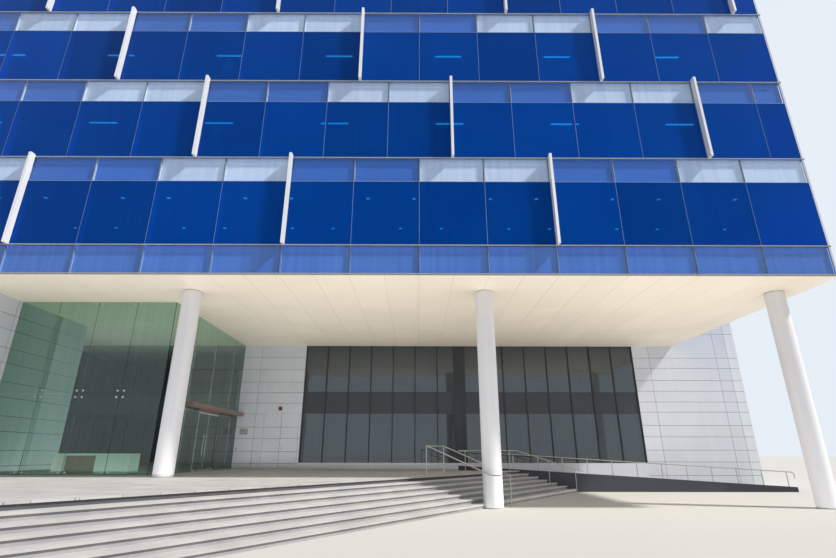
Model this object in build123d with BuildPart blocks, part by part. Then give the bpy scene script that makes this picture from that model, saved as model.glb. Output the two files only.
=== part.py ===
"""An office building: a glazed box of four storeys carried on round columns over a forecourt.

Millimetres, +Z up, ground at z = 0. The front faces -Y. The origin is at the bottom centre
of the whole building, steps and tower included.
"""

import os
from math import cos, radians, sin

from build123d import *

os.makedirs("parts", exist_ok=True)

# Glazed box
panel_width = 2400.0
box_width = 34800.0
box_depth = 20400.0
storeys = 4
storey_height = 3550.0
skirt_height = 1130.0
parapet_height = 1130.0
spandrel_height = 1005.0
glass_thickness = 30.0
shadow_box_depth = 200.0
back_panel_thickness = 60.0
mullion_width = 60.0
corner_post_width = 70.0
cap_height = 40.0
cap_depth = 25.0
fin_width = 95.0
fin_depth = 240.0
fin_rise = 70.0
fin_pitch = 4
fin_step = 1.5
floor_thickness = 300.0
ceiling_thickness = 30.0
upstand_thickness = 200.0
coping_height = 120.0
splice_gap = 12.0
upper_column_width = 450.0

# Forecourt
riser_count = 7
riser_height = 132.0
tread_depth = 360.0
tread_thickness = 40.0
nosing = 40.0
stair_angle = 54.588
stair_top_from_column = 4183.0
podium_reach = 9000.0
paving_thickness = 40.0
ramp_wall_setback = 9120.0
ramp_wall_thickness = 150.0
ramp_landing_length = 2832.0
ramp_length = 15900.0
ramp_kerb = 215.0

# Columns and soffit
clear_height = 6480.0
column_diameter = 640.0
column_spacing = 10950.0
column_inset = 1000.0
column_setback = 1825.0
column_count = 3
soffit_thickness = 40.0

# Ground floor
wall_thickness = 300.0
back_wall_setback = 11690.0
left_wing_width = 4480.0
left_wing_setback = 840.0
left_wing_inner_length = 6500.0
lobby_setback = 3215.0
lobby_pane_width = 1546.0
lobby_panes = 4
lobby_joint_height = 2868.0
lobby_side_joints = (5472.0, 7728.0, 10152.0, 11352.0)
pane_joint = 12.0
pane_thickness = 24.0
entrance_wall_width = 3455.0
strip_pane_width = 1224.0
least_right_wall = 2000.0
least_side_wall = 150.0
side_strip_setback = 12600.0
strip_mullion_width = 60.0
strip_mullion_depth = 160.0
strip_glass_recess = 60.0
strip_panel_thickness = 60.0
strip_sill_height = 288.0
strip_band_bottom = 2784.0
strip_band_top = 3948.0
pilaster_width = 660.0
pilaster_pane = 7

# Tower beside the box
tower_projection = 3600.0
tower_rise = 1500.0

# Doors
service_door_offset = 1456.0
service_door_width = 1880.0
service_door_height = 2760.0
door_frame_width = 40.0
door_frame_depth = 110.0
door_leaf_thickness = 50.0
door_gap = 5.0
hinge_offset = 16.0
hinge_radius = 15.85
hinge_length = 120.0
hinge_heights = (300.0, 1350.0, 2450.0)
portal_start = 5472.0
portal_length = 5184.0
sliding_leaf_width = 1200.0
sliding_leaf_thickness = 30.0
track_height = 120.0
track_depth = 150.0
canopy_start = 5280.0
canopy_end = 11590.0
canopy_underside = 2628.0
canopy_thickness = 168.0
canopy_projection = 350.0

# Handrails
tube_sides = 12
rail_diameter = 42.0
post_diameter = 38.0
stair_rail_height = 1008.0
ramp_rail_height = 865.0
ramp_first_post = 1438.0
ramp_post_spacing = 1176.0
ramp_rail_return = 260.0
middle_rail_stations = (3507.0, 4659.0)
middle_rail_setback = 30.0
middle_rail_tails = (350.0, 120.0)
pin_diameter = 16.0
side_rail_height = 890.0
side_rail_setback = 120.0
side_rail_posts = (312.0, 2400.0)
side_rail_stair_posts = ((1502.0, 4), (2732.0, 7))
seat = 0.3

# Levels and faces worked out from the sizes above
podium_top = riser_count * riser_height
soffit_level = podium_top + clear_height
box_bottom = soffit_level + soffit_thickness
first_floor = soffit_level + skirt_height
roof_level = first_floor + storeys * storey_height
parapet_top = roof_level + parapet_height
coping_top = parapet_top + coping_height
tower_top = coping_top + tower_rise
edge_inset = shadow_box_depth + back_panel_thickness

total_width = fin_depth + box_width + tower_projection
total_depth = podium_reach + box_depth + fin_depth
left_face = fin_depth - total_width / 2
right_face = left_face + box_width
front_face = podium_reach - total_depth / 2
rear_face = front_face + box_depth
podium_front = front_face - podium_reach
tower_left = right_face - edge_inset
tower_right = right_face + tower_projection
back_wall = front_face + back_wall_setback
ramp_wall = front_face + ramp_wall_setback
lobby_left = left_face + left_wing_width
lobby_right = lobby_left + lobby_panes * lobby_pane_width
lobby_front = front_face + lobby_setback
strip_left = lobby_right + entrance_wall_width
side_strip_start = front_face + side_strip_setback
side_strip_room = rear_face - wall_thickness - least_side_wall - side_strip_start
side_strip_panes = int(side_strip_room // strip_pane_width)
strip_panes = int((tower_left - least_right_wall - strip_left) // strip_pane_width)
strip_right = strip_left + strip_panes * strip_pane_width
column_x = [right_face - column_inset - i * column_spacing for i in range(column_count)]
column_y = front_face + column_setback
stair_top_x = column_x[1] - stair_top_from_column


def save(piece, name):
    """Label a finished piece and write it to its own file."""
    piece.part.label = name
    export_step(piece.part, f"parts/{name}.step")


def add_plan(rectangles, bottom, height):
    """Extrude plan rectangles, each (x0, y0, x1, y1), upwards inside the current part."""
    with BuildSketch(Plane.XY.offset(bottom)) as plan:
        for x0, y0, x1, y1 in rectangles:
            with Locations(((x0 + x1) / 2, (y0 + y1) / 2)):
                Rectangle(x1 - x0, y1 - y0)
    extrude(plan.sketch, amount=height)


def plan_piece(name, rectangles, bottom, height):
    """Make one named piece of plan rectangles of equal height."""
    with BuildPart() as piece:
        add_plan(rectangles, bottom, height)
    save(piece, name)


class Side:
    """One glazed face of the box: where it starts, where it runs and which way is outside.

    turn is the distance from a corner of the box at which its shadow box panels begin. The last
    corner is left out where the face ends against the tower.
    """

    def __init__(self, start, along, outward, length, turn, last_corner=True):
        self.start = Vector(*start)
        self.along = Vector(*along)
        self.outward = Vector(*outward)
        self.length = length
        self.glass_end = length - (corner_post_width if last_corner else 0.0)
        self.panel_start = turn
        self.panel_end = length - (turn if last_corner else 0.0)

    def rectangle(self, begin, end, behind, front):
        """Plan rectangle from begin to end along the face, between two depths behind it."""
        near = self.start + self.along * begin - self.outward * front
        far = self.start + self.along * end - self.outward * behind
        xs = sorted((near.X, far.X))
        ys = sorted((near.Y, far.Y))
        return xs[0], ys[0], xs[1], ys[1]

    def joints(self, level):
        """Distances along the face of the upright joints, which shift by half a panel a storey."""
        shift = panel_width / 2 if level % 2 == 0 else panel_width
        count = int((self.length - shift - mullion_width) // panel_width) + 1
        return [shift + i * panel_width for i in range(count)]

    def panels(self, level):
        """Begin, end and place in the colour rhythm of each panel between the joints."""
        joints = self.joints(level)
        edges = [self.panel_start] + joints + [self.panel_end]
        phase = fin_phase(level)
        return [
            (
                edges[i] + (mullion_width / 2 if i else 0),
                edges[i + 1] - (mullion_width / 2 if i < len(joints) else 0),
                (i - 1 - phase) % fin_pitch,
            )
            for i in range(len(edges) - 1)
        ]


def fin_phase(level):
    """Index of the first joint that carries a fin, which moves along by fin_step a storey."""
    half_panels = round(2 * fin_step) * level
    shifted = (5 - half_panels) % (2 * fin_pitch)
    return (shifted - (1 if level % 2 == 0 else 2)) // 2 % fin_pitch


side_turn = edge_inset + seat
front = Side((left_face, front_face), (1, 0), (0, -1), box_width, shadow_box_depth)
rear = Side((left_face, rear_face), (1, 0), (0, 1), box_width - edge_inset, shadow_box_depth, False)
left = Side((left_face, front_face), (0, 1), (-1, 0), box_depth, side_turn)
right = Side((right_face, front_face), (0, 1), (1, 0), back_wall_setback, side_turn, False)
sides = (front, rear, left, right)

# Bands of the glazed box from the bottom up: level in the joint rhythm, bottom and top
floor_levels = [first_floor + storey * storey_height for storey in range(storeys)]
storey_bands = [(storey, level, level + storey_height) for storey, level in enumerate(floor_levels)]
edge_bands = [(0, box_bottom, first_floor), (storeys, roof_level, parapet_top)]

# Glass sheets and uprights, with a splice at each floor line behind the caps
for group, bands in (("storey", storey_bands), ("skirt_and_parapet", edge_bands)):
    with BuildPart() as glass:
        for level, bottom, top in bands:
            sheets = [
                side.rectangle(corner_post_width, side.glass_end, 0, glass_thickness)
                for side in sides
            ]
            add_plan(sheets, bottom, top - bottom - splice_gap)
    save(glass, f"{group}_glass")

    with BuildPart() as mullions:
        for level, bottom, top in bands:
            uprights = [
                side.rectangle(
                    joint - mullion_width / 2, joint + mullion_width / 2, glass_thickness, edge_inset
                )
                for side in sides
                for joint in side.joints(level)
            ]
            add_plan(uprights, bottom, top - bottom - splice_gap)
    save(mullions, f"{group}_mullions")

# Shadow box panels behind the glass, in two colours that follow the fins
for colour, places in (("blue", (0, 1)), ("white", (2, 3))):
    with BuildPart() as back_panels:
        for level, bottom, top in storey_bands:
            rectangles = [
                side.rectangle(begin, end, shadow_box_depth, edge_inset)
                for side in sides
                for begin, end, place in side.panels(level)
                if place in places
            ]
            add_plan(rectangles, top - spandrel_height, spandrel_height - splice_gap)
    save(back_panels, f"{colour}_spandrel_panels")

with BuildPart() as edge_panels:
    for level, bottom, top in edge_bands:
        rectangles = [
            side.rectangle(begin, end, shadow_box_depth, edge_inset)
            for side in sides
            for begin, end, place in side.panels(level)
        ]
        add_plan(rectangles, bottom, top - bottom - splice_gap)
save(edge_panels, "skirt_and_parapet_panels")

# Corner posts, and the caps that run round the box at each floor line
corners = [
    (left_face, front_face, left_face + corner_post_width, front_face + corner_post_width),
    (right_face - corner_post_width, front_face, right_face, front_face + corner_post_width),
    (left_face, rear_face - corner_post_width, left_face + corner_post_width, rear_face),
]
plan_piece("corner_posts", corners, box_bottom, parapet_top - box_bottom)

with BuildPart() as caps:
    for level in [box_bottom + cap_height / 2, *floor_levels, roof_level]:
        front_cap = front.rectangle(-cap_depth, box_width + cap_depth, -cap_depth, 0)
        rear_cap = rear.rectangle(-cap_depth, rear.length, -cap_depth, 0)
        left_cap = left.rectangle(seat, box_depth - seat, -cap_depth, 0)
        right_cap = right.rectangle(seat, right.length, -cap_depth, 0)
        add_plan([front_cap, rear_cap, left_cap, right_cap], level - cap_height / 2, cap_height)
save(caps, "floor_line_caps")

# Fins: upright blades that stand off the glass from cap to cap
with BuildPart() as fins:
    for level, bottom, top in storey_bands:
        rectangles = [
            side.rectangle(joint, joint + fin_width, -fin_depth, -cap_depth)
            for side in sides
            for i, joint in enumerate(side.joints(level))
            if i % fin_pitch == fin_phase(level)
        ]
        add_plan(rectangles, bottom, storey_height + fin_rise)
save(fins, "fins")

# Floors, ceilings and roof
inner_left = left_face + edge_inset
inner_right = right_face - edge_inset
inner_front = front_face + edge_inset
inner_rear = rear_face - edge_inset
inner_plan = [(inner_left, inner_front, inner_right, inner_rear)]
plan_piece("transfer_slab", inner_plan, box_bottom, first_floor - box_bottom)
with BuildPart() as floor_slabs:
    for level in [*floor_levels[1:], roof_level]:
        add_plan(inner_plan, level - floor_thickness, floor_thickness)
save(floor_slabs, "floor_slabs")
with BuildPart() as ceilings:
    for level in floor_levels:
        add_plan(inner_plan, level + storey_height - spandrel_height, ceiling_thickness)
save(ceilings, "ceilings")

# Columns inside the storeys, over the front columns and in line behind them
column_rows = (front_face + column_setback, rear_face - column_setback)
half = upper_column_width / 2
line_count = int((box_width - column_inset - edge_inset - half) // column_spacing) + 1
upper_column_lines = [column_x[0] - i * column_spacing for i in range(line_count)]
with BuildPart() as upper_columns:
    for level in floor_levels:
        plans = [(x - half, y - half, x + half, y + half) for x in upper_column_lines for y in column_rows]
        add_plan(plans, level, storey_height - spandrel_height)
save(upper_columns, "upper_columns")

# Upstand and coping round the roof
upstand_in = edge_inset + upstand_thickness
upstands = [
    front.rectangle(edge_inset, box_width - edge_inset, edge_inset, upstand_in),
    rear.rectangle(edge_inset, box_width - edge_inset, edge_inset, upstand_in),
    left.rectangle(upstand_in + seat, box_depth - upstand_in - seat, edge_inset, upstand_in),
    right.rectangle(upstand_in + seat, right.length + seat, edge_inset, upstand_in),
]
plan_piece("roof_upstand", upstands, roof_level, parapet_top - roof_level)
copings = [
    front.rectangle(-cap_depth, box_width + cap_depth, -cap_depth, upstand_in),
    rear.rectangle(-cap_depth, rear.length, -cap_depth, upstand_in),
    left.rectangle(upstand_in + seat, box_depth - upstand_in - seat, -cap_depth, upstand_in),
    right.rectangle(upstand_in + seat, right.length - seat, -cap_depth, upstand_in),
]
plan_piece("parapet_coping", copings, parapet_top, coping_height)

# Soffit under the overhanging part of the box
soffit_plan = [(left_face, front_face, right_face, back_wall)]
plan_piece("soffit", soffit_plan, soffit_level, soffit_thickness)

# Podium: forecourt block, landing at the head of the ramp, and the threshold of the lobby
downhill = Vector(sin(radians(stair_angle)), -cos(radians(stair_angle)))
uphill_side = Vector(cos(radians(stair_angle)), sin(radians(stair_angle)))


def stair_edge_x(y, distance=0.0):
    """x of the line that lies distance downhill of the top nosing, at a given y."""
    run = (distance + (y - front_face) * cos(radians(stair_angle))) / sin(radians(stair_angle))
    return stair_top_x + run


def forecourt_outline(overhang):
    """Plan of the forecourt, whose right edge is the top nosing line."""
    with BuildLine() as outline:
        Polyline(
            (left_face, podium_front),
            (stair_edge_x(podium_front, overhang), podium_front),
            (stair_edge_x(ramp_wall, overhang), ramp_wall),
            (left_face, ramp_wall),
            close=True,
        )
    make_face(outline.line)


podium_body = podium_top - paving_thickness
ramp_start = stair_edge_x(ramp_wall) - ramp_landing_length
ramp_end = ramp_start + ramp_length
landing = (left_face, ramp_wall + seat, ramp_start, back_wall)
threshold = (left_face, back_wall + seat, lobby_right, back_wall + wall_thickness)
with BuildPart() as podium:
    with BuildSketch():
        forecourt_outline(0)
    extrude(amount=podium_body)
    add_plan([landing, threshold], 0, podium_body)
save(podium, "podium")

with BuildPart() as paving:
    with BuildSketch(Plane.XY.offset(podium_body)):
        forecourt_outline(nosing)
    extrude(amount=paving_thickness)
    add_plan([landing, threshold], podium_body, paving_thickness)
save(paving, "podium_paving")

# Ground floor behind the forecourt, and the upper floor behind the tall windows
with BuildPart() as rear_floors:
    add_plan([(left_face, back_wall + wall_thickness, tower_left, rear_face)], 0, podium_top)
    add_plan(
        [
            (
                left_face + wall_thickness,
                back_wall + wall_thickness,
                tower_left,
                rear_face - wall_thickness,
            )
        ],
        podium_top + strip_band_top - floor_thickness,
        floor_thickness,
    )
save(rear_floors, "rear_block_floors")

# Entrance steps: blocks and treads whose nosings run aslant to the front
stair_profile = Plane(
    origin=(stair_top_x, front_face, 0),
    x_dir=(downhill.X, downhill.Y, 0),
    z_dir=(-uphill_side.X, -uphill_side.Y, 0),
)


def trim_flight():
    """Cut the flight off at the ramp wall and the front of the podium, and clear the column."""
    split(bisect_by=Plane(origin=(0, ramp_wall, 0), z_dir=(0, -1, 0)), keep=Keep.TOP)
    split(bisect_by=Plane(origin=(0, podium_front, 0), z_dir=(0, 1, 0)), keep=Keep.TOP)
    with BuildSketch() as clearance:
        with Locations((column_x[1], column_y)):
            Circle(column_diameter / 2 + seat)
    extrude(clearance.sketch, amount=podium_top, mode=Mode.SUBTRACT)


with BuildPart() as step_blocks:
    with BuildSketch(stair_profile):
        for step in range(1, riser_count):
            block_height = podium_top - step * riser_height - tread_thickness
            with Locations(((step - 0.5) * tread_depth, block_height / 2)):
                Rectangle(tread_depth - seat, block_height)
    extrude(amount=total_depth, both=True)
    trim_flight()
save(step_blocks, "step_blocks")

with BuildPart() as step_treads:
    with BuildSketch(stair_profile):
        for step in range(1, riser_count):
            tread_level = podium_top - step * riser_height - tread_thickness / 2
            with Locations(((step - 0.5) * tread_depth + nosing / 2, tread_level)):
                Rectangle(tread_depth + nosing - seat, tread_thickness)
    extrude(amount=total_depth, both=True)
    trim_flight()
save(step_treads, "step_treads")

# Ramp and its dark kerb wall
ramp_profile = Plane(origin=(0, back_wall, 0), x_dir=(1, 0, 0), z_dir=(0, -1, 0))
with BuildPart() as ramp:
    with BuildSketch(ramp_profile):
        with BuildLine():
            Polyline(
                (ramp_start + seat, 0), (ramp_start + seat, podium_top), (ramp_end, seat), (ramp_end, 0), close=True
            )
        make_face()
    extrude(amount=back_wall - ramp_wall - ramp_wall_thickness)
save(ramp, "ramp")

wall_profile = Plane(origin=(0, ramp_wall + ramp_wall_thickness, 0), x_dir=(1, 0, 0), z_dir=(0, -1, 0))
with BuildPart() as ramp_kerb_wall:
    with BuildSketch(wall_profile):
        with BuildLine():
            Polyline(
                (ramp_start + seat, 0),
                (ramp_start + seat, podium_top + ramp_kerb),
                (ramp_end, ramp_kerb),
                (ramp_end, 0),
                close=True,
            )
        make_face()
    extrude(amount=ramp_wall_thickness)
save(ramp_kerb_wall, "ramp_wall")

# Front columns: the left one stands on the podium, the others on the ground
column_feet = (0.0, 0.0, podium_top)
with BuildPart() as front_columns:
    for x, foot in zip(column_x, column_feet):
        with BuildSketch(Plane.XY.offset(foot)):
            with Locations((x, column_y)):
                Circle(column_diameter / 2)
        extrude(amount=soffit_level - foot)
save(front_columns, "front_columns")

# White walls of the left wing
wing_height = soffit_level - podium_top
wing_front = front_face + left_wing_setback
wing_back = wing_front + wall_thickness
wing_walls = [
    (left_face, wing_front, lobby_left, wing_back),
    (left_face, wing_back + seat, left_face + wall_thickness, back_wall),
    (lobby_left - wall_thickness, wing_back + seat, lobby_left, wing_front + left_wing_inner_length),
]
plan_piece("left_wing_walls", wing_walls, podium_top, wing_height)

# Walls of the rear block either side of its strips of windows
side_strip_end = side_strip_start + side_strip_panes * strip_pane_width
rear_wall_face = rear_face - wall_thickness
rear_block_walls = [
    (left_face, back_wall + seat, left_face + wall_thickness, side_strip_start),
    (left_face, side_strip_end, left_face + wall_thickness, rear_wall_face - seat),
    (left_face, rear_wall_face, strip_left, rear_face),
    (strip_right, rear_wall_face, tower_left, rear_face),
]
plan_piece("rear_block_walls", rear_block_walls, podium_top, box_bottom - podium_top)

# Entrance wall with the service doorway, split beside and over the doorway
door_left = lobby_right + service_door_offset
door_right = door_left + service_door_width
frame_left = door_left - door_frame_width
frame_right = door_right + door_frame_width
door_head = podium_top + service_door_height
wall_back = back_wall + wall_thickness
plan_piece(
    "entrance_wall",
    [
        (lobby_right, back_wall, frame_left, wall_back),
        (frame_right, back_wall, strip_left, wall_back),
    ],
    0,
    box_bottom,
)
doorway_plan = [(frame_left, back_wall, frame_right, wall_back)]
lintel_level = door_head + door_frame_width
with BuildPart() as lintel_and_sill:
    add_plan(doorway_plan, lintel_level, box_bottom - lintel_level)
    add_plan(doorway_plan, 0, podium_top)
save(lintel_and_sill, "service_door_lintel_and_sill")

# Service door: steel frame, six hinge barrels and two leaves that open outwards
with BuildPart() as service_door_frame:
    add_plan(
        [
            (frame_left, back_wall, door_left, back_wall + door_frame_depth),
            (door_right, back_wall, frame_right, back_wall + door_frame_depth),
        ],
        podium_top,
        service_door_height - seat,
    )
    add_plan(
        [(frame_left, back_wall, frame_right, back_wall + door_frame_depth)],
        door_head,
        door_frame_width,
    )
    for height in hinge_heights:
        with BuildSketch(Plane.XY.offset(podium_top + height - hinge_length / 2)):
            with Locations((door_left, back_wall - hinge_offset), (door_right, back_wall - hinge_offset)):
                Circle(hinge_radius)
        extrude(amount=hinge_length)
save(service_door_frame, "service_door_frame")

leaf_width = (service_door_width - 3 * door_gap) / 2
leaf_height = service_door_height - 2 * door_gap
for name, x in (
    ("service_door_left_leaf", door_left + door_gap),
    ("service_door_right_leaf", door_right - door_gap - leaf_width),
):
    plan_piece(
        name,
        [(x, back_wall, x + leaf_width, back_wall + door_leaf_thickness)],
        podium_top + door_gap,
        leaf_height,
    )

# Right-hand wall beyond the window strip, and the tower
plan_piece("back_wall_right", [(strip_right, back_wall, tower_left, wall_back)], 0, box_bottom)
plan_piece(
    "tower_end_walls",
    [
        (tower_left, back_wall, tower_right, wall_back),
        (tower_left, rear_wall_face, tower_right, rear_face),
    ],
    0,
    tower_top,
)
plan_piece(
    "tower_side_walls",
    [
        (tower_right - wall_thickness, wall_back, tower_right, rear_wall_face),
        (tower_left, wall_back, tower_left + wall_thickness, rear_wall_face),
    ],
    0,
    tower_top,
)
tower_plan = [(tower_left + wall_thickness, wall_back, tower_right - wall_thickness, rear_wall_face)]
with BuildPart() as tower_slabs:
    add_plan(tower_plan, 0, floor_thickness)
    add_plan(tower_plan, tower_top - floor_thickness, floor_thickness)
save(tower_slabs, "tower_floor_and_roof")

# Window strips: uprights, sheets of glass, sills, bands at the upper floor, and the bulkhead
# where that floor looks into the lobby
class Strip:
    """A run of tall windows in one wall, with its own plan axes."""

    def __init__(self, start, along, inward, panes, foot, pilaster):
        self.start = Vector(*start)
        self.along = Vector(*along)
        self.inward = Vector(*inward)
        self.panes = panes
        self.foot = foot
        self.pilaster = pilaster

    def rectangle(self, begin, end, near, far):
        """Plan rectangle from begin to end along the wall, between two depths behind its face."""
        a = self.start + self.along * begin + self.inward * near
        b = self.start + self.along * end + self.inward * far
        xs = sorted((a.X, b.X))
        ys = sorted((a.Y, b.Y))
        return xs[0], ys[0], xs[1], ys[1]

    def uprights(self):
        """Begin and end of each upright, the end ones inside the strip."""
        spans = []
        for i in range(self.panes + 1):
            width = pilaster_width if i == self.pilaster else strip_mullion_width
            begin = i * strip_pane_width - width / 2
            if i == 0:
                begin = 0
            if i == self.panes:
                begin = i * strip_pane_width - width
            spans.append((begin, begin + width))
        return spans

    def bays(self):
        """Begin and end of each bay between two uprights."""
        spans = self.uprights()
        return [(spans[i][1], spans[i + 1][0]) for i in range(self.panes)]


front_strip = Strip((strip_left, back_wall), (1, 0), (0, 1), strip_panes, 0, pilaster_pane)
rear_strip = Strip((strip_left, rear_face), (1, 0), (0, -1), strip_panes, podium_top, None)
side_strip = Strip((left_face, side_strip_start), (0, 1), (1, 0), side_strip_panes, podium_top, None)
strips = (front_strip, rear_strip, side_strip)


glass_back = strip_glass_recess + pane_thickness
sill_top = podium_top + strip_sill_height
band_bottom = podium_top + strip_band_bottom
band_top = podium_top + strip_band_top
with BuildPart() as strip_mullions:
    for strip in strips:
        plans = [strip.rectangle(a, b, 0, strip_mullion_depth) for a, b in strip.uprights()]
        add_plan(plans, strip.foot, box_bottom - strip.foot)
save(strip_mullions, "window_strip_mullions")

band_back = strip_glass_recess + strip_panel_thickness
with BuildPart() as strip_panels:
    for strip in strips:
        sills = [strip.rectangle(a, b, 0, strip_mullion_depth) for a, b in strip.bays()]
        add_plan(sills, strip.foot, sill_top - strip.foot)
        band_plans = [strip.rectangle(a, b, strip_glass_recess, band_back) for a, b in strip.bays()]
        add_plan(band_plans, band_bottom, band_top - band_bottom)
    bulkhead = (left_face + wall_thickness, wall_back - strip_panel_thickness, lobby_right - seat, wall_back)
    add_plan([bulkhead], band_bottom, band_top - band_bottom)
save(strip_panels, "window_strip_sills_and_bands")

with BuildPart() as strip_glass:
    for strip in strips:
        panes = [strip.rectangle(a, b, strip_glass_recess, glass_back) for a, b in strip.bays()]
        add_plan(panes, sill_top, band_bottom - sill_top)
        add_plan(panes, band_top, box_bottom - band_top)
save(strip_glass, "window_strip_glass")

# Glass lobby: tall panes with open joints, and the entrance under a bronze canopy
joint_level = podium_top + lobby_joint_height
lobby_back = lobby_front + pane_thickness
front_panes = [
    (
        lobby_left + i * lobby_pane_width + pane_joint / 2 * (i > 0),
        lobby_front,
        lobby_left + (i + 1) * lobby_pane_width - pane_joint / 2 * (i < lobby_panes - 1),
        lobby_back,
    )
    for i in range(lobby_panes)
]
with BuildPart() as lobby_front_glass:
    add_plan(front_panes, podium_top, lobby_joint_height - pane_joint)
    add_plan(front_panes, joint_level, soffit_level - joint_level)
save(lobby_front_glass, "lobby_front_glass")

side_glass_face = lobby_right - pane_thickness
canopy_low = podium_top + canopy_underside
canopy_high = canopy_low + canopy_thickness
canopy_front = front_face + canopy_start
canopy_rear = front_face + canopy_end
upper_edges = [lobby_setback + pane_thickness + seat, *lobby_side_joints, back_wall_setback]
with BuildPart() as lobby_side_glass:
    upper = [
        (
            side_glass_face,
            front_face + upper_edges[i] + pane_joint / 2 * (i > 0),
            lobby_right,
            front_face + upper_edges[i + 1] - pane_joint / 2 * (i < len(upper_edges) - 2),
        )
        for i in range(len(upper_edges) - 1)
    ]
    add_plan(upper, canopy_high, soffit_level - canopy_high)
    add_plan(
        [
            (side_glass_face, lobby_back + seat, lobby_right, canopy_front - seat),
        ],
        podium_top,
        canopy_high - pane_joint - podium_top,
    )
    portal_front = front_face + portal_start
    portal_rear = portal_front + portal_length
    portal_middle = (portal_front + portal_rear) / 2
    add_plan(
        [
            (side_glass_face, canopy_front + pane_joint, lobby_right, portal_front - pane_joint / 2),
            (side_glass_face, portal_front + pane_joint / 2, lobby_right, portal_middle - sliding_leaf_width),
            (side_glass_face, portal_middle + sliding_leaf_width, lobby_right, portal_rear - pane_joint / 2),
            (side_glass_face, portal_rear + pane_joint / 2, lobby_right, back_wall),
        ],
        podium_top,
        canopy_underside,
    )
save(lobby_side_glass, "lobby_side_glass")

plan_piece(
    "entrance_canopy",
    [
        (
            side_glass_face - track_depth,
            canopy_front,
            lobby_right + canopy_projection,
            canopy_rear,
        )
    ],
    canopy_low,
    canopy_thickness,
)

# Entrance: a track under the canopy and two sliding leaves of glass
track_low = canopy_low - track_height
plan_piece(
    "entrance_track",
    [(side_glass_face - track_depth, portal_front, side_glass_face - seat, portal_rear)],
    track_low,
    track_height,
)
leaf_right = side_glass_face - 2 * door_gap
leaf_left = leaf_right - sliding_leaf_thickness
sliding_height = track_low - seat - podium_top - door_gap
for name, y in (
    ("entrance_front_leaf", portal_middle - door_gap / 2 - sliding_leaf_width),
    ("entrance_rear_leaf", portal_middle + door_gap / 2),
):
    plan_piece(
        name,
        [(leaf_left, y, leaf_right, y + sliding_leaf_width)],
        podium_top + door_gap,
        sliding_height,
    )


# Handrails: posts and rails of stainless steel tube, whose rounds have twelve flats
def add_rail(points, diameter=rail_diameter):
    """Tube through the points, with short bends where it turns."""
    with BuildLine() as path:
        FilletPolyline(*points, radius=3 * rail_diameter) if len(points) > 2 else Line(*points)
    with BuildSketch(Plane(origin=path.line @ 0, z_dir=path.line % 0)) as tube:
        RegularPolygon(diameter / 2, tube_sides)
    sweep(tube.sketch, path=path.line)


def add_post(x, y, foot, rail_level):
    """Upright from its foot into the rail that it is welded to."""
    with BuildSketch(Plane.XY.offset(foot)) as section:
        with Locations((x, y)):
            RegularPolygon(post_diameter / 2, tube_sides)
    extrude(section.sketch, amount=rail_level - foot)


def stair_point(distance, station):
    """Plan point at a distance downhill of the top nosing and a station along it."""
    origin = Vector(stair_top_x, front_face)
    return origin + downhill * distance + uphill_side * station


flight_run = (riser_count - 1) * tread_depth
stair_slope = riser_height / tread_depth
head_level = podium_top + stair_rail_height
rail_run = podium_top / stair_slope
tail_level = stair_rail_height
with BuildPart() as stair_handrails:
    heads = []
    for station, tail in zip(middle_rail_stations, middle_rail_tails):
        head = stair_point(-middle_rail_setback, station)
        knee = stair_point(rail_run, station)
        end = stair_point(rail_run + tail, station)
        edge = stair_point(0, station)
        add_rail(
            [
                (head.X, head.Y, head_level),
                (edge.X, edge.Y, head_level),
                (knee.X, knee.Y, tail_level),
                (end.X, end.Y, tail_level),
            ]
        )
        add_post(head.X, head.Y, podium_top, head_level)
        heads.append((head.X, head.Y, head_level))
    add_rail(heads)
    # The rail beside the middle column is pinned to it, the other ends on a post
    add_post(end.X, end.Y, 0, tail_level)
    column = Vector(column_x[1], column_y)
    nearest = stair_point((column - stair_point(0, 0)).dot(downhill), middle_rail_stations[0])
    pin_end = column - uphill_side * (column_diameter / 2 + seat)
    pin_level = head_level - (nearest - stair_point(0, 0)).dot(downhill) * stair_slope
    add_rail([(nearest.X, nearest.Y, pin_level), (pin_end.X, pin_end.Y, pin_level)], pin_diameter)
    side_rail_y = ramp_wall - side_rail_setback
    side_rail_x = stair_edge_x(side_rail_y)
    side_run = riser_count * tread_depth / sin(radians(stair_angle))
    side_top = podium_top + side_rail_height
    add_rail(
        [
            (ramp_start, side_rail_y, side_top),
            (side_rail_x, side_rail_y, side_top),
            (side_rail_x + side_run, side_rail_y, side_rail_height),
        ]
    )
    for x in side_rail_posts:
        add_post(ramp_start + x, side_rail_y, podium_top, side_top)
    for x, step in side_rail_stair_posts:
        foot = podium_top - step * riser_height
        add_post(side_rail_x + x, side_rail_y, foot, side_top - podium_top * x / side_run)
save(stair_handrails, "stair_handrails")

ramp_slope = podium_top / ramp_length
rail_y = ramp_wall + ramp_wall_thickness / 2
ramp_posts = int((ramp_length - ramp_first_post) // ramp_post_spacing) + 1
rail_start = podium_top + ramp_rail_height
slope_normal = Vector(ramp_slope, 0, 1).normalized()
kerb_line = Plane(origin=(ramp_start, rail_y, podium_top + ramp_kerb + seat), z_dir=slope_normal)
rail_line = Plane(origin=(ramp_start, rail_y, rail_start), z_dir=slope_normal)
with BuildPart() as ramp_handrail:
    with BuildSketch():
        for i in range(ramp_posts):
            with Locations((ramp_start + ramp_first_post + i * ramp_post_spacing, rail_y)):
                RegularPolygon(post_diameter / 2, tube_sides)
    extrude(amount=rail_start)
    split(bisect_by=kerb_line, keep=Keep.TOP)
    split(bisect_by=rail_line.offset(-rail_diameter / 2 - seat), keep=Keep.BOTTOM)
    add_rail(
        [
            (ramp_start, rail_y, rail_start),
            (ramp_end, rail_y, ramp_rail_height),
            (ramp_end, rail_y, ramp_rail_height - ramp_rail_return),
        ]
    )
save(ramp_handrail, "ramp_handrail")
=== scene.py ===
"""An office building in a studio: a blue glass box on round columns over a stepped podium."""

import math

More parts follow.
